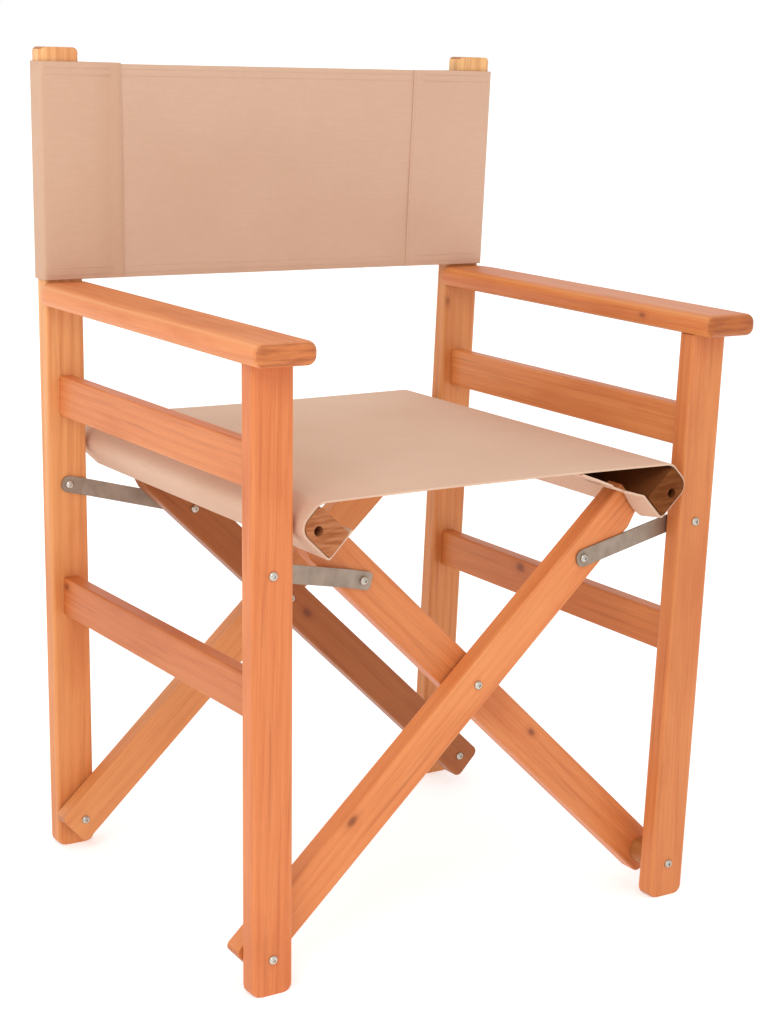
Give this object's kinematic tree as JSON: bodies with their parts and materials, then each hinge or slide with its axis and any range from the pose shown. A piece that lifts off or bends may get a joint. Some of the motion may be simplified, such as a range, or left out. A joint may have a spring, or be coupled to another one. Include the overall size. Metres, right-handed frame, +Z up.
{
  "type": "folding chair",
  "caption": "Wooden director's chair with crossed folding bars, flat armrests and a slung canvas seat and back.",
  "frame": {"origin": "on the floor, below the middle of the chair's overall box", "axes": "+Z up; -Y the way the sitter faces; +X to the right as seen from the front, along the fold"},
  "size_m": [0.58, 0.506, 0.87],
  "materials": {
    "oiled_wood": "oiled orange-brown hardwood with fine straight grain and a low sheen",
    "plain_wood": "the same wood with a duller, rougher surface, as on rails that are mostly under the cloth",
    "canvas": "matt beige-pink cotton canvas, plain weave, hemmed and double stitched",
    "bright_steel": "bright zinc-plated fasteners",
    "galvanised_steel": "dull zinc-plated strip"
  },
  "bodies": {
    "left_frame": {"left_armrest": "oiled_wood", "left_front_foot_bolt": "bright_steel", "left_front_foot_nut": "bright_steel", "left_front_foot_washer": "bright_steel", "left_front_leg": "oiled_wood", "left_front_link_bolt": "bright_steel", "left_front_link_nut": "bright_steel", "left_lower_rail": "oiled_wood", "left_rear_foot_bolt": "bright_steel", "left_rear_foot_nut": "bright_steel", "left_rear_foot_washer": "bright_steel", "left_rear_link_bolt": "bright_steel", "left_rear_link_nut": "bright_steel", "left_rear_post": "oiled_wood", "left_upper_rail": "oiled_wood", "back_cloth": "canvas"},
    "outer_bars": {"front_outer_bar": "oiled_wood", "rear_outer_bar": "oiled_wood", "right_seat_rail": "plain_wood", "front_outer_rail_screw": "bright_steel", "rear_outer_rail_screw": "bright_steel", "front_centre_bolt": "bright_steel", "front_centre_nut": "bright_steel", "front_centre_washer": "bright_steel", "rear_centre_bolt": "bright_steel", "rear_centre_nut": "bright_steel", "rear_centre_washer": "bright_steel", "right_front_bar_nut": "bright_steel", "right_rear_bar_bolt": "bright_steel", "seat_cloth": "canvas"},
    "inner_bars": {"front_inner_bar": "oiled_wood", "rear_inner_bar": "oiled_wood", "left_seat_rail": "plain_wood", "front_inner_rail_screw": "bright_steel", "rear_inner_rail_screw": "bright_steel", "left_front_bar_nut": "bright_steel", "left_rear_bar_bolt": "bright_steel"},
    "right_frame": {"right_armrest": "oiled_wood", "right_front_foot_bolt": "bright_steel", "right_front_foot_nut": "bright_steel", "right_front_foot_spacer": "oiled_wood", "right_front_leg": "oiled_wood", "right_front_link_bolt": "bright_steel", "right_front_link_nut": "bright_steel", "right_lower_rail": "oiled_wood", "right_rear_foot_bolt": "bright_steel", "right_rear_foot_nut": "bright_steel", "right_rear_foot_spacer": "oiled_wood", "right_rear_link_bolt": "bright_steel", "right_rear_link_nut": "bright_steel", "right_rear_post": "oiled_wood", "right_upper_rail": "oiled_wood"},
    "left_links": {"left_front_link": "galvanised_steel", "left_rear_link": "galvanised_steel", "left_front_bar_bolt": "bright_steel", "left_rear_bar_nut": "bright_steel"},
    "right_links": {"right_front_link": "galvanised_steel", "right_rear_link": "galvanised_steel", "right_front_bar_bolt": "bright_steel", "right_rear_bar_nut": "bright_steel"}
  },
  "joints": [
    {"name": "fold", "type": "hinge", "parent": "left_frame", "child": "outer_bars", "pos_m": [-0.24397, 0.007, 0.036], "axis": [0, -1, 0], "range_deg": [0, 22.3], "deforming": ["back_cloth"]},
    {"name": "cross", "type": "hinge", "parent": "outer_bars", "child": "inner_bars", "pos_m": [0, 0.007, 0.2653], "axis": [0, -1, 0], "range_deg": [-51.4, 0], "deforming": ["seat_cloth"]},
    {"name": "right_foot", "type": "hinge", "parent": "inner_bars", "child": "right_frame", "pos_m": [0.24397, 0.007, 0.036], "axis": [0, -1, 0], "range_deg": [0, 22.4]},
    {"name": "left_link", "type": "hinge", "parent": "left_frame", "child": "left_links", "pos_m": [-0.25149, 0.007, 0.4118], "axis": [0, -1, 0], "range_deg": [0, 60.5]},
    {"name": "right_link", "type": "hinge", "parent": "right_frame", "child": "right_links", "pos_m": [0.25149, 0.007, 0.4118], "axis": [0, -1, 0], "range_deg": [-60.5, 0]}
  ],
  "couplings": [
    {"joint": "cross", "follows": "fold", "ratio": -2.3},
    {"joint": "right_foot", "follows": "fold", "ratio": 1},
    {"joint": "left_link", "follows": "fold", "ratio": 2.7},
    {"joint": "right_link", "follows": "fold", "ratio": -2.7}
  ]
}
